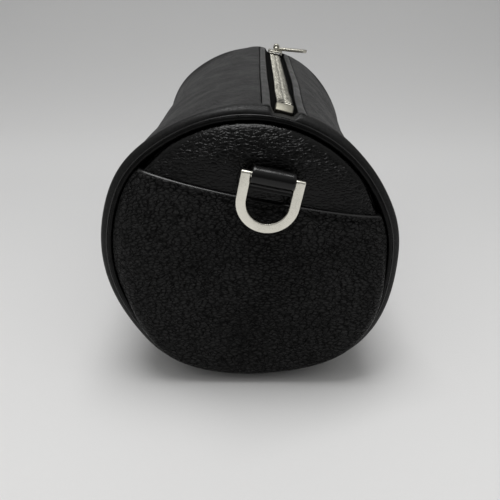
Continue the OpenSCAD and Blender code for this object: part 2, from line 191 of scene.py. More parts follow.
# Side view of the folded strip as (v, w): up its back, and after its turn over the bar down to its
# flared lower edge and in through the end panel
LOOP_BACK = [[40.0, 5.0], [40.0, 9.3]]
LOOP_TAIL = [[38.5, 15.75], [38.0, 15.05], [37.5, 14.75], [37.0, 14.75], [36.6, 14.95],
             [36.25, 15.2], [36.0, 15.15], [35.85, 14.9], [35.85, 14.4], [36.0, 13.9],
             [36.3, 13.4], [36.4, 11.0], [36.4, 5.0]]
LOOP_CUTS = np.array([0, 0.06, 0.2, 0.5, 1.4])  # its sections, from each end
LOOP_MIDDLE = [-3, 0, 3]

# Camera, light and stage
CAMERA_AT, CAMERA_WAY = (3.9, -313.4, 171.5), (-0.0131, 0.8959, -0.4442)
LAMP_AT = (-0.05, -0.02, 1.6)
SKY_RISE = (0.0, 0.9, 0.34, 0.62)  # two heights in the sky, and its strength at each
SKY_FRONT = (-0.95, -0.3, 0.5, 1.0)  # the same from the front, where the room is darker
FLOOR_X = (-6.0, -0.8, 0.8, 6.0)
FLOOR_LINE = [(-6.0, 0.0), (-1.0, 0.0), (0.0, 0.0), (0.35, 0.0)]
COVE_Y, COVE_R, WALL_HEIGHTS = 0.35, 0.5, (1.2, 2.4)

SIDES, SIDE_SIGN = ("left", "right"), (1, -1)
ENDS, END_SIGN = ("near", "far"), (-1, 1)
JOIN = 1e-7  # points nearer than this are one, in metres
NORMAL_STEP = 0.05


def arc(s):
    """Degrees round the barrel of a length s along its surface."""
    return s / BARREL_R * 180 / math.pi


def bell(x, centre, spread):
    return np.exp(-((x - centre) / spread) ** 2)


def bells(x, forms):
    """Sum of forms, each a size, centre and spread."""
    return sum(size * bell(x, centre, spread) for size, centre, spread in forms)


def ease(x, low, high):
    t = np.clip((x - low) / (high - low), 0, 1)
    return t * t * (3 - 2 * t)


def unit(v):
    return v / np.maximum(np.linalg.norm(v, axis=-1, keepdims=True), 1e-12)


def sind(angle):
    return np.sin(np.radians(angle))


def cosd(angle):
    return np.cos(np.radians(angle))


def turns(count):
    """Angles all the way round, the last one short of the first."""
    return np.linspace(0, 360, count + 1)[:-1]


def circle(angles, rad, centre):
    """Points in a plane round a centre."""
    t = np.radians(angles)
    return rad * np.stack([np.cos(t), np.sin(t)], -1) + centre


def turned(points, angle, first, second):
    """Points turned by an angle from the axis first towards the axis second."""
    t = math.radians(angle)
    moved = points.copy()
    moved[..., first] = points[..., first] * math.cos(t) - points[..., second] * math.sin(t)
    moved[..., second] = points[..., first] * math.sin(t) + points[..., second] * math.cos(t)
    return moved


def across(outline, axis, place):
    """An outline set square to an axis, at a place along it."""
    return np.insert(outline, axis, place, axis=1)


def barrel_rad(a, y):
    """Radius of the barrel's outer surface at the angle a, from ZIP_A to ZIP_A + 360, and the place y."""
    turn = np.radians(a)
    side = sind(a - ZIP_A) ** 2
    behind = RIM - np.abs(y)
    rad = BARREL_R + bells(a, SAGS)
    rad = rad - WAIST * cosd(90 * np.minimum(1, np.abs(y) / RIM)) * side
    off_zip = ease(side, *OFF_ZIP)
    hollow = (1 - np.exp(-(behind / HOLLOW_REACH) ** 2)) * np.exp(-behind / HOLLOW_FADE)
    rad = rad - HOLLOW * hollow * off_zip
    rad = rad - bells(a, DENT) * ease(y, *DENT_START) * (1 - ease(y, *DENT_END))
    at_rim = BULGE_LEAST + (1 - BULGE_LEAST) * ease(np.abs(y), *BULGE_GROWTH)
    rad = rad + bells(a, BULGES) * at_rim
    rad = rad + bells(a, CREST) * ease(y, *CREST_START) * (1 - ease(y, *CREST_END))
    wave = sum(size * np.sin(count * turn + y / length + phase) for size, count, length, phase in WAVES)
    return rad + wave * ease(behind, *WAVE_GROWTH) * off_zip


def on_floor(z, least):
    """z, softly kept above the height least."""
    lift = z - least
    return least + (lift + np.sqrt(lift * lift + FLOOR_SOFT ** 2)) / 2 - FLOOR_SOFT / 8


def barrel(a, y, depth):
    """Points at a depth under the barrel's outer surface."""
    a, y, depth = np.broadcast_arrays(np.asarray(a, float), y, depth)
    rad = barrel_rad(a, y) - depth
    z = on_floor(AXIS_H + rad * sind(a), np.minimum(depth, LEATHER_T + LINING_T))
    return np.stack([rad * cosd(a), y, z], -1)


def barrel_normal(a, y):
    over_a = barrel(a + NORMAL_STEP, y, 0) - barrel(a - NORMAL_STEP, y, 0)
    over_y = barrel(a, y + NORMAL_STEP, 0) - barrel(a, y - NORMAL_STEP, 0)
    return unit(np.cross(over_y, over_a))


def skin_normal(grid, a, y, depth, sign):
    """Normals of a grid, with the barrel's own where it lies in the barrel's surface."""
    normal = unit(np.cross(np.gradient(grid, axis=0), np.gradient(grid, axis=1))) * sign
    level = depth == 0
    normal[level] = barrel_normal(a + 0 * y, y + 0 * a)[level]
    return unit(normal)


# Mesh making

def link(name, mesh):
    ob = bpy.data.objects.new(name, mesh)
    bpy.context.scene.collection.objects.link(ob)
    return ob


def volume_sign(points, faces):
    a, b, c, d = (points[faces[:, k]] for k in range(4))
    return np.sign(np.einsum("ij,ij->", a, np.cross(b, c) + np.cross(c, d)))


def wall(name, outer, inner, outer_normal=None, closed=False):
    """Closed wall between two grids of points, [row, column, xyz], whose columns may close into a
    ring. outer_normal gives the outer face's normals, so that walls that meet edge to edge shade
    as one."""
    nr, nc = outer.shape[:2]
    n = nr * nc
    points = np.concatenate([outer.reshape(-1, 3), inner.reshape(-1, 3)])
    index = np.arange(n).reshape(nr, nc)
    if closed:
        index = np.concatenate([index, index[:, :1]], axis=1)
    top = np.stack([index[:-1, :-1], index[:-1, 1:], index[1:, 1:], index[1:, :-1]], -1).reshape(-1, 4)

    def border(line):
        return np.stack([line[1:], line[:-1], line[:-1] + n, line[1:] + n], -1)
    sides = [border(index[0]), border(index[-1][::-1])]
    if not closed:
        sides += [border(index[::-1, 0]), border(index[:, -1])]
    faces = np.concatenate([top, top[:, ::-1] + n] + sides)
    if volume_sign(points, faces) < 0:
        faces = faces[:, ::-1]
    mesh = bpy.data.meshes.new(name)
    mesh.from_pydata((points * MM).tolist(), [], faces.tolist())
    mesh.polygons.foreach_set("use_smooth", np.ones(len(faces), bool))
    if outer_normal is not None:
        normal = outer_normal.reshape(-1, 3)
        corners = np.concatenate([normal, -normal])[faces]
        corner = points[faces]
        flat = unit(np.cross(corner[:, 2] - corner[:, 0], corner[:, 3] - corner[:, 1]))
        first = len(top) * 2
        corners[first:] = flat[first:, None, :]
        mesh.normals_split_custom_set(corners.reshape(-1, 3).tolist())
    mesh.update()
    return link(name, mesh)


def write_points(ob, name, values):
    """Writes a number for each point of a mesh, which a material reads by its name."""
    marks = ob.data.attributes.new(name, "FLOAT", "POINT")
    marks.data.foreach_set("value", np.asarray(values, np.float32))


def add_grain(ob, grain, skirt=0):
    """Writes how strong the leather's grain is at each point of a wall. Rows of a skirt take the
    first row's."""
    grain = np.concatenate([grain[:1]] * skirt + [grain]).ravel()
    write_points(ob, "grain", np.concatenate([grain, grain]))


def barrel_grain(y):
    least, more = BARREL_GRAIN
    return least + more * (1 - ease(np.abs(y), *GRAIN_FADE))


def loft(sections, loop=False):
    """Points and faces of a tube through sections, [section, point, xyz]. loop joins its ends,
    which are capped without it."""
    n, m = sections.shape[:2]
    index = np.arange(n * m).reshape(n, m)
    beside = np.roll(index, -1, axis=1)
    quads = np.stack([index, beside, np.roll(beside, -1, axis=0), np.roll(index, -1, axis=0)], -1)
    faces = quads[:n if loop else n - 1].reshape(-1, 4).tolist()
    if not loop:
        faces += [index[0][::-1].tolist(), index[-1].tolist()]
    return sections.reshape(-1, 3), faces


def clean(mesh, sharp, turn_out=False):
    """Joins the points of a mesh that fall together, and shades it smooth except at edges that turn
    by sharp degrees or more. turn_out turns its faces outwards."""
    bm = bmesh.new()
    bm.from_mesh(mesh)
    bmesh.ops.remove_doubles(bm, verts=bm.verts, dist=JOIN)
    bmesh.ops.dissolve_degenerate(bm, edges=bm.edges, dist=JOIN)
    bmesh.ops.delete(bm, geom=[edge for edge in bm.edges if not edge.link_faces], context="EDGES")
    if turn_out:
        bmesh.ops.recalc_face_normals(bm, faces=bm.faces)
    for face in bm.faces:
        face.smooth = True
    limit = math.radians(sharp)
    for edge in bm.edges:
        edge.smooth = len(edge.link_faces) == 2 and edge.calc_face_angle(0) < limit
    bm.to_mesh(mesh)
    bm.free()


def solid(name, parts, sharp):
    """One object of several lofts."""
    points, faces = [], []
    for part_points, part_faces in parts:
        shift = len(points)
        points.extend(part_points.tolist())
        faces.extend([[i + shift for i in face] for face in part_faces])
    mesh = bpy.data.meshes.new(name)
    mesh.from_pydata((np.array(points) * MM).tolist(), [], faces)
    clean(mesh, sharp, turn_out=True)
    return link(name, mesh)


def sharpen(ob, sharp=38):
    clean(ob.data, sharp)
    return ob


def clad(ob, material, slot, *nodes):
    ob.data.materials.append(material)
    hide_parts(*nodes)


def dressed(ob, material, slot, node, body="barrel"):
    """Something that rides on one body and stands for one node."""
    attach(ob, body)
    clad(ob, material, slot, node)


def on_end(ob, material, slot, body="barrel"):
    """Something of one end, as piping_near, which stands for near_piping."""
    kind, end = ob.name.rsplit("_", 1)
    dressed(ob, material, slot, end + "_" + kind, body)


def half_name(kind, side, far):
    return "%s_%s_%s" % (kind, SIDES[side], ENDS[far])


def hinged(ob, material, slot, side, far, end_node=None):
    """A half of something on a lip, its transform baked into its points. It stands for its kind's
    node on the lip, and for end_node or its kind's node at that end."""
    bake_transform(ob)
    kind = ob.name.rsplit("_", 2)[0]
    clad(ob, material, slot, kind + "_" + SIDES[side], end_node or kind + "_" + ENDS[far])


# Materials

class Tree:
    """A node tree that grows one call at a time."""

    def __init__(self, tree):
        self.tree = tree

    def fill(self, node, **inputs):
        """Links a node's inputs, or sets them to plain values. i0 is its first input, and so on."""
        for key, value in inputs.items():
            numbered = key[0] == "i" and key[1:].isdigit()
            socket = node.inputs[int(key[1:]) if numbered else key.replace("_", " ")]
            if isinstance(value, bpy.types.NodeSocket):
                self.tree.links.new(value, socket)
            else:
                socket.default_value = value

    def node(self, kind, out=0, settings=None, **inputs):
        """Adds a node and gives one of its outputs."""
        made = self.tree.nodes.new("ShaderNode" + kind)
        for key, value in (settings or {}).items():
            setattr(made, key, value)
        self.fill(made, **inputs)
        return made.outputs[out]

    def math(self, kind, a, b):
        return self.node("Math", settings={"operation": kind}, i0=a, i1=b)

    def plus(self, a, b):
        return self.math("ADD", a, b)

    def times(self, a, b):
        return self.math("MULTIPLY", a, b)

    def vector(self, kind, a, b):
        return self.node("VectorMath", settings={"operation": kind}, i0=a, i1=b)

    def ramp(self, value, low, high, to_low=0.0, to_high=1.0):
        return self.node("MapRange", settings={"interpolation_type": "SMOOTHSTEP"}, i0=value, i1=low,
                         i2=high, i3=to_low, i4=to_high)


class Shader(Tree):
    """The node tree of a new material."""

    def __init__(self, name):
        self.material = bpy.data.materials.new(name)
        self.material.use_nodes = True
        super().__init__(self.material.node_tree)
        self.body = self.tree.nodes["Principled BSDF"]
        self.place = self.node("TexCoord", out="Object")

    def noise(self, scale, detail, place=None, out=0):
        return self.node("TexNoise", out=out, Vector=place or self.place, Scale=scale, Detail=detail,
                         Roughness=0.5)

    def cells(self, scale, place=None, **settings):
        """Voronoi cells: the distance to their middle, or to their edge where settings say so."""
        return self.node("TexVoronoi", settings=settings, Vector=place or self.place, Scale=scale)

    def attribute(self, name):
        return self.node("Attribute", out=2, settings={"attribute_name": name})

    def mix(self, share, first, second):
        return self.node("Mix", out=2, settings={"data_type": "RGBA"}, i0=share, i6=first, i7=second)

    def finish(self, color, roughness, height, depth, **fixed):
        """Gives the material its look, with relief of a depth. fixed holds further inputs, by name."""
        normal = self.node("Bump", Distance=depth, Strength=1.0, Height=height)
        self.fill(self.body, Base_Color=color, Roughness=roughness, Normal=normal, **fixed)
        return self.material


def grey(value, warm=0.0):
    return (value * (1 + warm), value, value * (1 - warm), 1.0)


def cream(value, warm):
    return (value, value * (1 - 0.2 * warm), value * (1 - warm), 1.0)


def pebbled_leather(name, cell, depth, dark, light, rough, gloss, stretch):
    """Grained leather: rounded pebbles, cell to the metre, with creases between them and pebbles
    2.7 times finer on top. The attribute grain says how strong they are."""
    s = Shader(name)
    edge_of = {"feature": "DISTANCE_TO_EDGE"}
    wobble = s.vector("SUBTRACT", s.noise(240, 2, out=1), (0.5, 0.5, 0.5))
    wobble = s.vector("MULTIPLY", wobble, (0.0026, 0.0026, 0.0026))
    place = s.node("Mapping", Vector=s.vector("ADD", s.place, wobble), Scale=stretch)
    edge = s.cells(cell, place, **edge_of)
    middle = s.cells(cell, place)
    fine = s.cells(cell * 2.7, place, **edge_of)
    crease = s.math("SUBTRACT", 1.0, s.ramp(edge, 0.0, 0.20))
    crease = s.times(crease, s.ramp(s.noise(520, 2), 0.32, 0.62, 0.35, 1.0))
    pebble = s.math("SUBTRACT", 1.0, crease)
    crown = s.math("SUBTRACT", 1.0, s.math("POWER", s.times(middle, 1.35), 2.0))
    height = s.plus(s.times(pebble, 0.55), s.times(crown, 0.45))
    height = s.plus(height, s.times(s.ramp(fine, 0.0, 0.25), 0.07))
    strength = s.times(s.attribute("grain"), s.ramp(s.noise(55, 3), 0.3, 0.7, 0.7, 1.25))
    height = s.times(height, strength)
    height = s.plus(height, s.times(s.noise(2400, 3), 0.05))
    # The colour is painted darker in the creases, as shade, and lighter at the pebbles' middles, as light on
    # their crowns; patch is a random tone over both
    patch = s.ramp(s.noise(38, 3), 0.3, 0.7, 0.8, 1.15)
    shade = s.times(s.times(pebble, s.ramp(middle, 0.85, 0.15, 0.45, 1.0)), patch)
    color = s.mix(shade, grey(dark), grey(light))
    worn = s.times(pebble, -0.10)
    roughness = s.plus(s.ramp(s.noise(90, 3), 0.3, 0.7, rough + 0.05, rough + 0.14), worn)
    return s.finish(color, roughness, height, depth, IOR=1.45, Specular_IOR_Level=gloss)


def smooth_leather(name, dark, light, rough, gloss):
    """Leather with fine pores and low, wide swells."""
    s = Shader(name)
    pores = s.ramp(s.cells(2600), 0.0, 0.5)
    height = s.plus(s.times(pores, 0.14), s.noise(330, 4))
    color = s.mix(s.ramp(s.noise(60, 3), 0.3, 0.7), grey(dark), grey(light))
    roughness = s.ramp(s.noise(140, 3), 0.25, 0.75, rough - 0.05, rough + 0.08)
    return s.finish(color, roughness, height, 0.00006, IOR=1.45, Specular_IOR_Level=gloss)


def woven(name, low, high, thread):
    """Cloth whose threads run along Y and across it."""
    s = Shader(name)
    along, x_side, z_side = (s.node("TexWave", out=1, settings={"bands_direction": axis}, Vector=s.place,
                                    Scale=thread, Distortion=0.6) for axis in "YXZ")
    over = s.math("MAXIMUM", x_side, z_side)
    height = s.plus(s.times(along, 0.5), s.times(over, 0.5))
    fuzz = s.noise(1800, 3)
    # Colour: darker where the threads lie low, as painted shade between them, with a random fuzz
    color = s.mix(s.times(height, fuzz), grey(low), grey(high))
    roughness = s.ramp(fuzz, 0.3, 0.7, 0.79, 0.91)
    return s.finish(color, roughness, height, 0.00008, Specular_IOR_Level=0.03)


def foam_material(name):
    s = Shader(name)
    bubbles = s.cells(1400)
    # Colour: darker in the bubbles' hollows, as painted shade
    color = s.mix(s.ramp(bubbles, 0.1, 0.6), grey(0.10, 0.04), grey(0.24, 0.05))
    return s.finish(color, s.ramp(bubbles, 0.0, 0.6, 0.8, 0.95), bubbles, 0.0002)


def cord_material(name):
    s = Shader(name)
    fibre = s.noise(1500, 4)
    color = s.mix(fibre, grey(0.16, 0.05), grey(0.34, 0.06))
    return s.finish(color, s.ramp(fibre, 0.3, 0.7, 0.75, 0.92), fibre, 0.0001)


def satin_metal(name, low, high, rough, warm, paint_gap_shade):
    """Plated metal with fine wear: brighter rubbed spots and faint hairlines. Where asked, its colour is
    painted near black where the attribute open is low: painted shade down between the teeth."""
    s = Shader(name)
    rub = s.noise(140, 3)
    hair = s.noise(900, 3, place=s.node("Mapping", Vector=s.place, Scale=(1, 14, 1)))
    color = s.mix(s.ramp(rub, 0.35, 0.65), cream(low, warm), cream(high, warm))
    if paint_gap_shade:
        # Painted shade: near black where a point lies down between the teeth
        color = s.mix(s.attribute("open"), grey(0.02), color)
    roughness = s.plus(s.ramp(hair, 0.3, 0.7, rough - 0.05, rough + 0.07), s.ramp(rub, 0.3, 0.7, 0.03, -0.03))
    return s.finish(color, roughness, hair, 0.00002, Metallic=1.0)


# The pocket's and the ends' looks are copies of one leather: the pocket's colour is painted lighter, as
# light, and the upper end panel's painted darker, as shade
# Name, cells to the metre, depth, dark, light, roughness, gloss and stretch
LEATHER, LEATHER_END, LEATHER_TOP = (pebbled_leather(*look) for look in (
    ("pebbled_leather", 760, 0.00042, 0.0010, 0.0080, 0.43, 0.32, (1, 1, 1)),
    ("pebbled_leather_pocket", 700, 0.00150, 0.0002, 0.0260, 0.28, 0.07, (0.60, 1, 1.2)),
    ("pebbled_leather_ends", 700, 0.00034, 0.0004, 0.0010, 0.13, 0.24, (0.58, 1, 1.1))))
# Name, dark, light, roughness and gloss
SMOOTH, PIPING, FOLD_LEATHER, LOOP_LEATHER = (smooth_leather(*look) for look in (
    ("smooth_leather", 0.0018, 0.0045, 0.33, 0.40), ("piping_leather", 0.0006, 0.0024, 0.26, 0.15),
    ("fold_leather", 0.0020, 0.0060, 0.24, 0.55), ("loop_leather", 0.0005, 0.0014, 0.16, 0.40)))
LINING = woven("lining_cloth", low=0.006, high=0.022, thread=420)
TAPE = woven("zip_tape_cloth", low=0.001, high=0.004, thread=700)
FOAM, CORD = foam_material("stiffener_foam"), cord_material("cotton_cord")
# Name, low, high, roughness, warmth, and whether shade is painted dark into the gaps between teeth
ZIP_METAL, BOX_METAL, TOOTH_METAL, RING_METAL = (satin_metal(*look) for look in (
    ("zip_metal", 0.52, 0.60, 0.30, 0.16, False), ("zip_box_metal", 0.25, 0.29, 0.50, 0.20, False),
    ("zip_tooth_metal", 0.52, 0.62, 0.28, 0.16, True), ("ring_metal", 0.76, 0.82, 0.22, 0.13, False)))



# Barrel

# Places along the barrel between the two rim bands, closer together near the rims
ROW_T, EVEN = np.linspace(-1, 1, 95), 0.72
BODY_YS = BAND_Y * (ROW_T * EVEN + (1 - EVEN) * np.sin(ROW_T * math.pi / 2))


def half_rows(far):
    """The rows of one half. The middle one is in both."""
    return BODY_YS[len(BODY_YS) // 2:] if far else BODY_YS[:len(BODY_YS) // 2 + 1]


def lining(name, a, y):
    return sharpen(wall(name, barrel(a, y, LEATHER_T + LINING_GAP), barrel(a, y, LEATHER_T + LINING_T)))


def make_lower():
    a = np.linspace(FOLD_LEFT, FOLD_RIGHT, 150)[None, :]
    y = BODY_YS[:, None]
    ob = wall("body_panel_lower", barrel(a, y, 0), barrel(a, y, LEATHER_T), barrel_normal(a, y))
    add_grain(ob, barrel_grain(y) + 0 * a)
    dressed(ob, LEATHER, "leather_grain", "body_panel")
    a = np.linspace(FOLD_LEFT, FOLD_RIGHT, 100)[None, :]
    y = np.linspace(-BAND_Y, BAND_Y, 60)[:, None]
    dressed(lining("body_lining_lower", a, y), LINING, "lining_cloth", "body_lining")


def band_section(a, far):
    """The rolled edge of a rim, from the barrel round to the piping: distance behind the rim and
    depth, by row and angle. In front of the zip the band dips, so that it shows the zip's end."""
    from_top = np.minimum(a - ZIP_A, ZIP_A + 360 - a)
    length = ROLL_LEN + (0 if far else ROLL_TOP - ROLL_LEN) * np.exp(-(from_top / ROLL_TOP_SPREAD) ** 4)
    turn = np.radians(np.linspace(0, 90, 15))[:, None]
    behind = np.concatenate([RIM_BAND + 0 * a, (RIM_BAND + length) / 2, length * (1 - np.sin(turn))])
    depth = np.concatenate([0 * a, 0 * a, ROLL_DEPTH * (1 - np.cos(turn)) + 0 * a])
    beside = np.where(a > ZIP_A + 180, ZIP_A + 360 - a, ZIP_A - a) * math.pi / 180 * BARREL_R
    open_part = 1 - ease(np.abs(beside - ZIP_DIP_MIDDLE), *ZIP_DIP_EDGE)
    return behind, depth + np.maximum(0, ZIP_DIP - depth) * open_part * (ZIP_DIP_FAR if far else 1)


def rim_depth(a, y):
    """Depth of the near rim's rolled edge at a place near the top."""
    behind = RIM - np.abs(y)
    turn = np.arcsin(np.clip(1 - behind / ROLL_TOP, 0, 1))
    return np.where(y < 0, ROLL_DEPTH * (1 - np.cos(turn)), 0) + 0 * a


def make_band(far):
    sign = END_SIGN[far]
    a = ZIP_A + turns(360)[None, :]
    behind, depth = band_section(a, far)
    y = sign * (RIM - behind)
    seam = BAND_SEAM * sind(a * BAND_SEAM_COUNT) * ease(depth, 1.2, ROLL_DEPTH)
    outer = barrel(a, y, depth + seam)
    inner = barrel(a, y, ROLL_DEPTH + ROLL_BACK)
    normal = skin_normal(outer, a, y, depth, sign)
    ob = wall("body_rim_" + ENDS[far], outer, inner, normal, closed=True)
    add_grain(ob, barrel_grain(y) * (1 - 0.75 * ease(depth, 0.1, 1.5)))
    dressed(ob, LEATHER, "leather_grain", "body_panel")


def round_zip(side, s, y):
    """Angle of a place s from the zip's middle line, on one side. The opening narrows at its near end."""
    moved = arc(s + PINCH[side] * ease(-y, *PINCH_GROWTH) * (1 - ease(s, *PINCH_FADE)))
    return ZIP_A + moved if side == 0 else ZIP_A + 360 - moved


# The lip's edge: distance out from the strip and depth
LIP_EDGE = [[0.08, 1.25], [0.12, 0.85], [0.25, 0.45], [0.5, 0.18], [0.9, 0.05], [1.6, 0.0]]
LIP_FLAT, LIP_LINING = STRIP_OUT + 2.8, STRIP_OUT + 0.4


def make_lip(side, far):
    fold = math.radians(FOLD) * BARREL_R
    cols = [[STRIP_OUT + out, depth] for out, depth in LIP_EDGE]
    cols = np.array(cols + [[s, 0.0] for s in np.linspace(LIP_FLAT, fold, 74)])
    rows = half_rows(far)
    y = rows[:, None]
    a = round_zip(side, cols[None, :, 0], y)
    depth = cols[None, :, 1] + 0 * y
    outer = barrel(a, y, depth)
    normal = skin_normal(outer, a, y, depth, SIDE_SIGN[side])
    ob = wall(half_name("lip_panel", side, far), outer, barrel(a, y, LEATHER_T), normal)
    add_grain(ob, barrel_grain(y) + 0 * a)
    hinged(ob, LEATHER, "leather_grain", side, far, "body_panel")
    y = np.linspace(rows[0], rows[-1], 34)[:, None]
    a = round_zip(side, np.linspace(LIP_LINING, fold, 40)[None, :], y)
    ob = lining(half_name("lip_lining", side, far), a, y)
    hinged(ob, LINING, "lining_cloth", side, far, "body_lining")


# Section of a strip: distance out from the opening's edge and depth
STRIP_LINE = np.array([[STRIP_W, 1.2], [3.75, 0.75], [3.6, 0.35], [3.3, 0.08], [2.8, -0.08], [2.0, -0.16],
                       [1.2, -0.08], [0.6, 0.12], [0.22, 0.42], [0.05, 0.85], [0, 1.3]])


def zip_rows(far):
    ys = np.linspace(0, ZIP_END, round(ZIP_END / ZIP_STEP) + 1)
    return ys if far else -ys[::-1]


def make_strip(side, far):
    s, depth = OPEN_HALF + STRIP_LINE[None, :, 0], STRIP_LINE[None, :, 1]
    y = zip_rows(far)[:, None]
    if not far:
        y = np.concatenate([np.array(STRIP_REACH)[:, None], y])
    a = round_zip(side, s, y)
    crimp = CRIMP * np.sin(y / CRIMP_LEN + side) * ease(STRIP_OUT - s, *CRIMP_GROWTH)
    rolled = rim_depth(a, y)
    outer = barrel(a, y, depth + crimp + rolled - STRIP_LIFT * ease(-y, *STRIP_LIFT_AT))
    ob = sharpen(wall(half_name("zip_strip", side, far), outer, barrel(a, y, STRIP_T + rolled)), 50)
    hinged(ob, SMOOTH, "leather_smooth", side, far)


def chain_shift(y):
    """How far the chain's middle lies to the left of the zip's middle line."""
    return CHAIN_LEFT * ease(-y, *CHAIN_LEFT_AT)


def chain_dip(y):
    """How far the chain sinks. It rises towards its near end, so this is below zero, and tips over
    at its last teeth."""
    past = np.clip(-np.asarray(y, float) - CHAIN_TIP_FROM, 0, CHAIN_TIP_LEN)
    return -CHAIN_RISE * ease(-y, *CHAIN_RISE_AT) + CHAIN_TIP * past ** 2


def tape_dip(y):
    """How far the tape sinks: as the chain does, and then down under the end box."""
    past = np.clip(-np.asarray(y, float) - TAPE_TURN, 0, TAPE_TURN_LEN)
    return chain_dip(y) + math.tan(math.radians(BOX_TILT)) * past


# Section of a tape: distance from the zip's middle line and half its thickness
TAPE_LINE = np.array([[1.75, 0.30], [1.95, 0.55], [2.4, 0.62], [2.9, 0.5], [3.2, 0.3], [4.4, 0.3],
                      [6.0, 0.3], [8.0, 0.3], [STRIP_OUT - 0.2, 0.3]])


def make_tape(side, far):
    """Zip tape with the thicker cord along the edge that carries the teeth."""
    out, half = TAPE_LINE[None, :, 0], TAPE_LINE[None, :, 1]
    y = zip_rows(far)[:, None]
    sign = SIDE_SIGN[side]
    s = out + sign * chain_shift(y) * (1 - ease(out, 3, 7))
    a = np.where(out < 5, ZIP_A + (360 if side else 0) + sign * arc(s), round_zip(side, s, y))
    mid = STRIP_T + TAPE_T / 2 + TAPE_SINK + tape_dip(y) * (1 - ease(out, 4, 7))
    ob = wall(half_name("zip_tape", side, far), barrel(a, y, mid - half), barrel(a, y, mid + half))
    hinged(sharpen(ob, 50), TAPE, "zip_tape", side, far)


def at_zip(points):
    """Points of the zip's frame, x across, y along and z out of the barrel, in the row frame."""
    return turned(points + (0, 0, BARREL_R), -ROLL, 0, 2) + (0, 0, AXIS_H)


def rounded(half_x, half_y, corner, per):
    """Outline of a rectangle whose round corners have a number of points each."""
    corner = min(corner, half_x, half_y)
    points = []
    for k, (sx, sy) in enumerate(((1, 1), (-1, 1), (-1, -1), (1, -1))):
        for t in np.radians(np.linspace(90 * k, 90 * k + 90, per)):
            points.append([sx * (half_x - corner) + corner * math.cos(t),
                           sy * (half_y - corner) + corner * math.sin(t)])
    return np.array(points)


# Sections of a tooth: x from its tip to its outer end, half length along the zip, height cut away
# at top and bottom
TOOTH = ((-0.85, 0.28, 0.62), (-0.70, 0.46, 0.36), (-0.2, 0.54, 0.12), (0.5, 0.48, 0.0), (1.4, 0.42, 0.0),
         (2.6, 0.42, 0.02), (3.3, 0.40, 0.10), (3.55, 0.32, 0.30), (3.62, 0.2, 0.5))


def tooth(side, y, lean=0.0, stretch=1.0):
    sign = SIDE_SIGN[side]
    points = np.array([across(rounded(half * stretch, TOOTH_HALF - cut, 0.46, 4), 0, -sign * x)
                       for x, half, cut in TOOTH])
    points = turned(points, sign * lean, 0, 1) + (-chain_shift(y), y, TOOTH_MID)
    points[..., 2] -= chain_dip(points[..., 1])
    return loft(at_zip(points))


def write_gap_shade(ob):
    """Writes how open each point of the teeth lies: one on their tops, none down between them. The tooth
    metal paints shade by it.
    """
    points = np.array([vertex.co for vertex in ob.data.vertices]) / MM - (0, 0, AXIS_H)
    height = turned(points, ROLL, 0, 2)[:, 2] - BARREL_R + chain_dip(points[:, 1])
    write_points(ob, "open", 1 - ease(TOOTH_TOP - height, 0.02, 0.26))


def make_teeth(side, far):
    """The teeth of one side on one half of the zip, each a lofted clamp with a rounded head."""
    low, high = (0.0, CHAIN_STOP) if far else (CHAIN_START, 0.0)
    ys = [k * PITCH + side * PITCH / 2 for k in range(-MOST_TEETH, MOST_TEETH)]
    parts = [tooth(side, y, LEAN * float(ease(-y, *LEAN_AT))) for y in ys if low <= y < high]
    ob = solid(half_name("zip_teeth", side, far), parts, 50)
    write_gap_shade(ob)
    hinged(ob, TOOTH_METAL, "zip_metal", side, far)


def make_stops():
    ob = solid("zip_stops", [tooth(side, STOP_Y, stretch=STOP_STRETCH) for side in (0, 1)], 50)
    dressed(ob, ZIP_METAL, "zip_metal", "zip_top_stops")


# Sections of the zip's box: place along it, as a share of its half length, and inset
BOX_CUTS = ((-1, 0.55), (-0.97, 0.28), (-0.88, 0.08), (-0.7, 0), (0.5, 0), (0.88, 0.06), (0.97, 0.25),
            (1, 0.5))


def make_box():
    """The box that ends the zip: a pressed block, crowned across, that tips towards the rim."""
    sections = []
    for share, inset in BOX_CUTS:
        outline = rounded(BOX_HALF - inset, TOOTH_HALF - inset * 0.7, 0.6, 5)
        outline[:, 1] += BOX_CROWN * (1 - (outline[:, 0] / BOX_HALF) ** 2) * (outline[:, 1] > 0)
        sections.append(across(outline, 1, share * BOX_LEN / 2))
    points = turned(np.array(sections), BOX_TILT, 1, 2) + (-chain_shift(BOX_Y), BOX_Y, TOOTH_MID + BOX_LIFT)
    dressed(solid("zip_end_box", [loft(at_zip(points))], 50), BOX_METAL, "zip_metal", "zip_box")


def plate_outline(inset):
    """Outline of the slider's plates, a little wider at the end that spreads the teeth."""
    outline = rounded(1, 1, 0.32, 7)
    width = SLIDER_W + SLIDER_FLARE * outline[:, 1]
    return np.stack([outline[:, 0] * (width - inset), outline[:, 1] * (SLIDER_HALF - inset)], -1)


def plate(low, high):
    """A plate with rounded edges between two heights."""
    levels = [(low, SOFT), (low + SOFT * 0.35, SOFT * 0.3), (low + SOFT, 0), (high - SOFT, 0),
              (high - SOFT * 0.35, SOFT * 0.3), (high, SOFT), (high + 0.06, SOFT + 1.2)]
    return np.array([across(plate_outline(inset), 2, z) for z, inset in levels])


def slider_rail(side, low, high):
    outline = rounded(RAIL_HALF, RAIL_LEN, 0.24, 4) + (side * RAIL_X, 0)
    return np.array([across(outline, 2, z) for z in (low, high)])


# Half of the bridge's path: distance from its middle and height. It ends in the upper plate
BRIDGE = [[3.35, PLATE_HIGH - 0.3], [3.35, 2.2], [3.2, 3.0], [2.8, 3.5], [2.2, BAR_Z]]


def bridge():
    """The arch over the slider that carries the pull, as a rounded bar along a path."""
    path = np.array([[-y, z] for y, z in BRIDGE] + [[0, BAR_Z + 0.05]] + BRIDGE[::-1])
    way = unit(np.gradient(path, axis=0))
    outline = rounded(BAR_R, BAR_HALF, 0.6, 5)
    sections = [np.stack([outline[:, 0], y - outline[:, 1] * wz, z + outline[:, 1] * wy], -1)
                for (y, z), (wy, wz) in zip(path, way)]
    return np.array(sections)


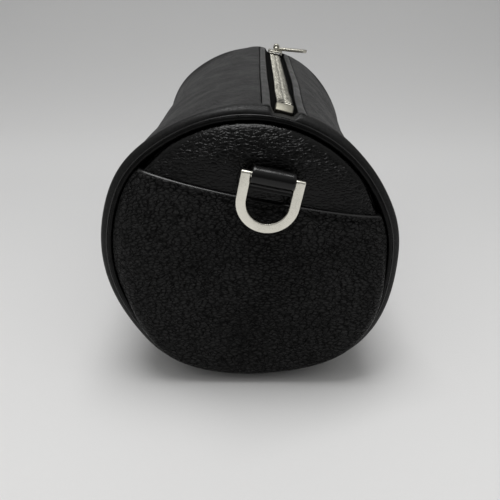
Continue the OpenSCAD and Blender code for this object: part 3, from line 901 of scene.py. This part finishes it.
def make_slider():
    top = plate(PLATE_LOW, PLATE_HIGH)
    top[..., 2] += top[..., 0] * math.tan(math.radians(PLATE_TURN))
    parts = [top, plate(UNDER_LOW, UNDER_HIGH), bridge()]
    for side in (-1, 1):
        parts.append(slider_rail(side, RAIL_LOW, PLATE_LOW + RAIL_SUNK))
        parts.append(slider_rail(side, UNDER_HIGH - UNDER_SUNK, UNDER_RAIL))
    ob = solid("slider_body", [loft(at_zip(part + (0, SLIDER_Y, 0))) for part in parts], 42)
    dressed(ob, ZIP_METAL, "zip_metal", "zip_slider", "slider")


def pull_half(x):
    """Half the tongue's width: the eye's at its start, then wider."""
    return EYE_LEN / 2 + (0 if x < WAIST_END else (PULL_W - EYE_LEN) / 2 * float(ease(x, *WAIST_GROWTH)))


def make_pull():
    """Pull tab: a barrel-shaped eye round the bridge and a flat tongue with a soft edge and a round tip."""
    tip = PULL_LEN - TIP_LEN
    stations = np.concatenate([np.linspace(PULL_START, PULL_STRAIGHT, 16),
                               tip + TIP_LEN * sind([15, 35, 52, 67, 78, 86, 90])])
    sections = []
    for x in stations:
        past = max(0.0, (x - tip) / TIP_LEN)
        half = max(0.15, pull_half(x) * math.sqrt(max(0.0, 1 - past * past)))
        outline = rounded(half, PULL_T / 2 * (1 if past < TIP_THIN_FROM else TIP_THIN), 0.5, 5)
        dish = DISH * np.exp(-(outline[:, 0] / max(half - DISH_EDGE, 0.3)) ** 6) * (DISH_FROM < x < DISH_TO)
        outline[:, 1] -= dish * np.sign(outline[:, 1]) + PULL_LOW
        sections.append(across(outline, 0, x))
    profile = rounded((EYE_R - BAR_R - EYE_GAP) / 2, EYE_LEN / 2, 0.55, 5)
    rad = (EYE_R + BAR_R + EYE_GAP) / 2 + profile[:, 0]
    eye = [np.stack([rad * math.cos(t), profile[:, 1], rad * math.sin(t)], -1) for t in np.radians(turns(32))]

    def placed(points):
        return at_zip(turned(np.array(points), PULL_RISE, 0, 2) + (0, SLIDER_Y, BAR_Z))
    lofts = [loft(placed(sections)), loft(placed(eye), loop=True)]
    dressed(solid("pull_tab", lofts, 42), ZIP_METAL, "zip_metal", "zip_pull", "pull")


# Ends

def rim_angle(a):
    return ZIP_A + (np.asarray(a, float) - ZIP_A) % 360


def rim_rad(a):
    """Radius of the rim's outline, which sags at its lower corners."""
    return barrel_rad(rim_angle(a), -RIM)


def end_edge(a):
    return rim_rad(a) - EDGE_INSET


def fuller(a):
    """Share of the sag at an angle: all of it round the lower edge, none at the top."""
    turn = FULL_CUT + (np.asarray(a, float) - FULL_CUT) % 360
    return ease(turn, *FULL_START) * (1 - ease(turn, *FULL_END))


def dome_height(a, rad, k):
    """How far the domed end stands out of its rim plane, at a radius and a depth k under its face."""
    share = np.clip(rad / (end_edge(a) - k), 0, 1)
    power = DOME_POWER + DOME_FULL * fuller(a)
    height = (END_PUFF - k) * np.maximum(0, 1 - share ** power) ** (1 / power)
    x, z = rad * cosd(a), rad * sind(a)
    lumps = sum(size * np.sin(x / over + z / up + phase) for size, over, up, phase in LUMPS)
    lumps = lumps + SWELL * bell(x, *SWELL_X) * bell(z, *SWELL_Z)
    return height + lumps * (1 - share ** 6)


def pucker(a, from_edge):
    """Small gathers of the end panel under its upper seam."""
    turn = np.radians(a)
    folds = np.sin(74 * turn + 2.5 * np.sin(9 * turn)) + 0.5 * np.sin(47 * turn + 1.3)
    return -GATHER * folds * bell(rim_angle(a), *GATHER_A) * bell(from_edge, *GATHER_EDGE)


def end_point(a, rad, w, far):
    """Point of an end, at an angle, a radius and a height w out of its rim plane."""
    a, rad, w = np.broadcast_arrays(a, rad, w)
    return np.stack([rad * cosd(a), END_SIGN[far] * (RIM + w), AXIS_H + rad * sind(a)], -1)


def dome_point(a, rad, k, far, add):
    """Point of the domed end at a depth k under its face, raised by add, with the lower edge hanging out."""
    w = dome_height(a, rad, k) + add
    hang = BELLY * fuller(a) * bell(w, *BELLY_W) * ease(rad / (end_edge(a) - k), *BELLY_EDGE)
    return end_point(a, rad + hang, w, far)


# Distances in from the end's edge, and from the pocket's border, at which their rows lie
EDGE_STEPS = np.array([0, 0.01, 0.04, 0.10, 0.2, 0.35, 0.6, 0.9, 1.3, 1.8, 2.4, 3.1, 3.9, 4.8, 5.8, 7, 8.6,
                       10.5, 13, 16, 19.5, 23.5, 28, 33, 38.5, 44.5, 50.5, 55.5, 58.8])
POCKET_STEPS = np.array([0, 0.01, 0.04, 0.10, 0.2, 0.32, 0.45, 0.6, 0.8, 1.0, 1.25, 1.5, 1.8, 2.1, 2.35, 2.55,
                         2.7, 2.85, 3.0, 3.15, 3.35, 3.7, 4.2, 4.9, 5.8, 7, 8.5, 10.5, 13, 16, 19, 22])
POCKET_SHARES = np.array([[0.66], [0.33], [0.0]])  # its last rows, as shares of the one before
SKIRT = (2.6, 1.3)  # rows of each skin below the rim plane, where it is sewn in
END_COLS = 400


def pocket_line(u):
    return POCKET_V - POCKET_SAG * (1 - np.clip(np.abs(u) / POCKET_SAG_REACH, 0, 1) ** 2)


def above_pocket(a, rad):
    """Distance of a point above the pocket's edge, in the end's rolled frame."""
    return rad * sind(a + END_ROLL) - pocket_line(rad * cosd(a + END_ROLL))


def panel_depth(a, rad):
    """Depth of the end panel under the pocket's face: it lies under the pocket, and rises to the
    seam above it."""
    return END_K - (END_K - TOP_K) * ease(above_pocket(a, rad), *TOP_RISE)


def layer(a, steps, k, far, skirt_k=None, gathered=0.0):
    """Grid of points over an end at a depth k under its face, with its skirt below the rim plane."""
    edge = end_edge(a)
    rad = np.minimum(edge * (1 - steps / EDGE_STEPS[-1]), edge - k)
    skirt_rad = edge - (k if skirt_k is None else skirt_k)
    rows = [end_point(a, skirt_rad, -w, far) for w in SKIRT]
    return np.concatenate(rows + [dome_point(a, rad, k, far, gathered * pucker(a, steps))])


def make_end_panel(far):
    a = turns(END_COLS)[None, :]
    steps = EDGE_STEPS[:, None]
    edge = end_edge(a)
    k = panel_depth(a, edge * (1 - steps / EDGE_STEPS[-1]))
    k_rim = panel_depth(a, edge)
    ob = wall("end_panel_" + ENDS[far], layer(a, steps, k, far, k_rim, gathered=1.0),
              layer(a, steps, k + END_T, far, k_rim + END_T), closed=True)
    grain = (0.25 + 0.75 * ease(steps, 0.8, 4.5)) * (1 - 0.65 * ease(steps, 6, 20)) + 0 * a
    add_grain(ob, grain, len(SKIRT))
    on_end(sharpen(ob, 40), LEATHER_TOP, "leather_grain")


def pocket_reach(a):
    """Radius of the pocket panel's border along each direction, whether that is its open edge, and
    the slant that the edge is met at."""
    rise = sind(a + END_ROLL)
    edge = end_edge(a)
    rad = edge.copy()
    for _ in range(12):
        line = pocket_line(rad * cosd(a + END_ROLL))
        rad = np.where(rise > 0.05, np.minimum(edge, line / np.maximum(rise, 0.05)), edge)
    return rad, rad < edge - 0.02, 1 / np.clip(rise, 0.52, 1)


def make_pocket(far):
    """The slip pocket's panel: a second skin on the lower end, with a folded, creased edge across
    the top. The fold has a smoother material."""
    a = turns(END_COLS)[None, :]
    reach, on_line, slant = pocket_reach(a)
    rad = reach - POCKET_STEPS[:, None] * slant
    rad = np.concatenate([rad, rad[-1:] * POCKET_SHARES])
    edge = end_edge(a)
    below = np.maximum(0, -above_pocket(a, rad))
    bead = bells(below, BEAD_FORMS)
    fold = np.clip(below / FOLD_R, 0, 1)
    round_off = FOLD_R * (1 - np.sqrt(1 - (1 - fold) ** 2))
    near_line = ease(-below, *FOLD_FADE)
    add = (bead - round_off) * near_line
    w = (dome_height(a, rad, 0) + add)[:1]
    inner_rad = np.where(on_line, rad, np.minimum(rad, edge - POCKET_T))
    inner_w = (dome_height(a, inner_rad, POCKET_T) + POCKET_GAP)[:1]
    inner_reach = np.where(on_line, reach, edge - POCKET_T)
    outer, inner = [], []
    for n, depth in enumerate(SKIRT):
        share = (len(SKIRT) - n) / (len(SKIRT) + 1)
        rim_w = np.where(on_line, w * (1 - share) + inner_w * share, -depth)
        outer.append(end_point(a, reach, rim_w, far))
        inner.append(end_point(a, inner_reach, np.where(on_line, inner_w, -depth), far))
    outer = np.concatenate(outer + [dome_point(a, rad, 0, far, add)])
    inner = np.concatenate(inner + [dome_point(a, inner_rad, POCKET_T, far, POCKET_GAP)])
    ob = wall("pocket_panel_" + ENDS[far], outer, inner, closed=True)
    grain = (1 - 0.95 * near_line * bell(below, 0, FOLD_SMOOTH)) * (0.35 + 0.65 * ease(edge - rad, 0.2, 2.5))
    add_grain(ob, grain, len(SKIRT))
    on_end(sharpen(ob, 46), LEATHER_END, "leather_grain")
    ob.data.materials.append(FOLD_LEATHER)
    grain = np.zeros(len(ob.data.vertices), np.float32)
    ob.data.attributes["grain"].data.foreach_get("value", grain)
    for face in ob.data.polygons:
        if grain[list(face.vertices)].mean() < FOLD_GRAIN:
            face.material_index = 1


def make_inner_layers(far):
    """The foam stiffener and the lining behind the end panel."""
    a = turns(120)[None, :]
    steps = EDGE_STEPS[::2][:, None]
    for name, k, thick, material, slot in (("stiffener", FOAM_K + FOAM_GAP, FOAM_T, FOAM, "foam"),
                                           ("lining", CLOTH_K + CLOTH_GAP, LINING_T, LINING, "lining_cloth")):
        ob = wall("end_%s_%s" % (name, ENDS[far]), layer(a, steps, k, far), layer(a, steps, k + thick, far),
                  closed=True)
        on_end(sharpen(ob, 50), material, slot)


def tube(angles, rads, size, out, points, far):
    """Loft of a tube round an end. rads and size may change along it."""
    ring = np.radians(turns(points))
    angles, rads, size, out = (v[:, None] for v in np.broadcast_arrays(angles, rads, size, out))
    sections = end_point(angles, rads + size * np.cos(ring), out + size * np.sin(ring), far)
    return loft(sections, loop=True)


def make_piping(far):
    """Piping: a leather tube round the end, a little uneven, with a cord of three twisted strands
    inside. The folded edge of its leather shows beside it as a thin ridge."""
    angles = turns(400)
    seam = rim_rad(angles) - SEAM_INSET
    uneven = sum(size * sind(angles * count + phase) for size, count, phase in PIPING_WAVES)
    ridge = tube(angles, seam + SEAM_INSET - FLANGE_INSET, FLANGE_R, FLANGE_OUT, 18, far)
    parts = [tube(angles, seam, PIPING_R + uneven, PIPING_OUT, 18, far),
             tube(angles, seam, PIPING_BORE, PIPING_OUT, 18, far), ridge]
    ob = solid("piping_" + ENDS[far], parts, 60)
    on_end(ob, PIPING, "leather_smooth")
    ob.data.materials.append(FOLD_LEATHER)
    for face in list(ob.data.polygons)[-len(ridge[1]):]:
        face.material_index = 1
    strands = []
    for k in range(STRANDS):
        twist = np.radians(angles * STRAND_TURNS + 360 / STRANDS * k)
        strands.append(tube(angles, seam + STRAND_OFF * np.cos(twist), STRAND_R,
                            STRAND_OFF * np.sin(twist) + PIPING_OUT, 8, far))
    ob = solid("piping_cord_" + ENDS[far], strands, 60)
    on_end(ob, CORD, "piping_cord")


def at_end(points, far):
    """Points of an end's rolled frame, u right, v up and w out of the rim plane, in the row frame."""
    points = np.stack([points[..., 0], END_SIGN[far] * (RIM + points[..., 2]), points[..., 1]], -1)
    return turned(points, -END_ROLL, 0, 2) + (0, 0, AXIS_H)


def make_loop(far):
    over = circle(np.linspace(*LOOP_TURNS, 23), LOOP_R, (RING_OUT, RING_V))[:, ::-1]
    outline = np.concatenate([LOOP_BACK, over, LOOP_TAIL])
    way = unit(np.roll(outline, -1, axis=0) - np.roll(outline, 1, axis=0))
    inward = np.stack([-way[:, 1], way[:, 0]], -1)
    inward = inward * np.sign(np.einsum("ij,ij->i", inward, outline.mean(axis=0) - outline).sum())
    half = LOOP_W / 2
    sections = []
    for u in np.concatenate([LOOP_CUTS - half, LOOP_MIDDLE, half - LOOP_CUTS[::-1]]):
        inset = LOOP_EDGE * (1 - ease(half - abs(u), -0.05, 0.5))
        inset += LOOP_BEAD * bell(half - abs(u), *LOOP_BEAD_AT)
        sections.append(across(outline + inward * inset, 0, u + RING_U))
    ob = solid("ring_loop_" + ENDS[far], [loft(at_end(np.array(sections), far))], 44)
    on_end(ob, LOOP_LEATHER, "leather_smooth")


def make_ring(far):
    """D-ring: a flat band with soft edges along two legs and a bow, and the round bar between them."""
    middle = (RING_IN + RING_W) / 2
    low = RING_V - RING_DROP
    leg = np.array([[middle, v] for v in np.linspace(low, RING_V + RING_BAR, 8)])
    bow = circle(np.linspace(180, 360, 41)[1:-1], middle, (0, low))
    path = np.concatenate([leg[::-1] * (-1, 1), bow, leg])
    way = unit(np.gradient(path, axis=0))
    last = len(path) - 1
    profile = rounded(RING_W / 2, RING_T / 2, 0.45, 5)

    def section(k, from_end=END_ROUND):
        """Section at a point of the path, smaller where it lies near the path's end."""
        shift = from_end if k == 0 else -from_end if k == last else 0.0
        (du, dv), (u, v) = way[k], path[k] + way[k] * shift
        drop = END_ROUND - math.sqrt(max(0.0, END_ROUND ** 2 - (END_ROUND - from_end) ** 2))
        wide = profile[:, 0] * (1 - 0.45 * drop / RING_W)
        out = profile[:, 1] * (1 - 2 * drop / RING_T)
        return np.stack([u + wide * dv + RING_U, v - wide * du, RING_OUT + out], -1)
    rounding = END_ROUND * (1 - cosd([12, 28, 45, 62, 78, 90]))
    sections = [section(0, step) for step in rounding] + [section(k) for k in range(1, last)]
    sections += [section(last, step) for step in rounding[::-1]]
    outline = circle(turns(24), RING_BAR, (RING_V, RING_OUT))
    bar = [across(outline, 0, u + RING_U) for u in np.linspace(-middle, middle, 5)]
    parts = [loft(at_end(np.array(sections), far)), loft(at_end(np.array(bar), far))]
    ob = solid("d_ring_" + ENDS[far], parts, 42)
    on_end(ob, RING_METAL, "ring_metal", ENDS[far] + "_ring")


def make_bag():
    make_lower()
    for far in (0, 1):
        make_band(far)
        for side in (0, 1):
            for make in (make_lip, make_strip, make_tape, make_teeth):
                make(side, far)
        for make in (make_end_panel, make_pocket, make_inner_layers, make_piping, make_loop, make_ring):
            make(far)
    for make in (make_stops, make_box, make_slider, make_pull):
        make()


# Camera, light and stage

def aim(ob, place, way):
    """Sets a camera or lamp at a place, looking along a direction."""
    ob.location = place
    ob.rotation_euler = Vector(way).to_track_quat("-Z", "Y").to_euler()


def make_camera():
    data = bpy.data.cameras.new("camera")
    data.sensor_width, data.lens, data.clip_start = 36, 38.95, 0.01
    ob = link("camera", data)
    aim(ob, Vector(CAMERA_AT) * MM, CAMERA_WAY)
    bpy.context.scene.camera = ob


def make_light():
    data = bpy.data.lights.new("overhead", "AREA")
    data.shape = "RECTANGLE"
    data.size, data.size_y, data.energy = 0.75, 0.95, 14.9
    aim(link("overhead", data), LAMP_AT, -Vector(LAMP_AT))
    world = bpy.data.worlds.new("studio")
    world.use_nodes = True
    s = Tree(world.node_tree)
    way = s.node("TexCoord", out="Generated")
    rise = s.ramp(s.node("SeparateXYZ", out=2, Vector=way), *SKY_RISE)
    front = s.ramp(s.node("SeparateXYZ", out=1, Vector=way), *SKY_FRONT)
    s.fill(s.tree.nodes["Background"], Strength=s.times(rise, front), Color=(1.0, 1.0, 0.99, 1))
    bpy.context.scene.world = world


def make_stage():
    """A floor that curves up into a backdrop behind the bag."""
    turn = np.radians(np.linspace(0, 90, 25)[1:])
    line = FLOOR_LINE + [(COVE_Y + COVE_R * math.sin(t), COVE_R * (1 - math.cos(t))) for t in turn]
    line += [(COVE_Y + COVE_R, z) for z in WALL_HEIGHTS]
    points = [(x, y, z) for y, z in line for x in FLOOR_X]
    n = len(FLOOR_X)
    faces = [(i, i + 1, i + n + 1, i + n) for i in range(len(points) - n) if (i + 1) % n]
    mesh = bpy.data.meshes.new("floor")
    mesh.from_pydata(points, [], faces)
    mesh.polygons.foreach_set("use_smooth", [True] * len(faces))
    ob = link("floor", mesh)
    s = Shader("floor_paper")
    y = s.node("SeparateXYZ", out=1, Vector=s.place)
    # The paper's colour is painted darker towards the backdrop and far in front, as shade where less light
    # falls, with a faint random tone
    color = grey(0.77, 0.004)
    for share, tone in ((s.ramp(y, -0.22, 0.2), grey(0.62, 0.002)), (s.ramp(y, 0.2, 0.8), grey(0.43)),
                        (s.ramp(y, -0.30, -1.4), grey(0.45)),
                        (s.ramp(s.noise(3, 3), 0.35, 0.65, 0.0, 0.04), grey(0.6))):
        color = s.mix(share, color, tone)
    ob.data.materials.append(s.finish(color, 0.75, s.noise(900, 3), 0.00005))


make_bag()
make_camera()
make_light()
make_stage()
bpy.context.scene.view_settings.view_transform = "Standard"
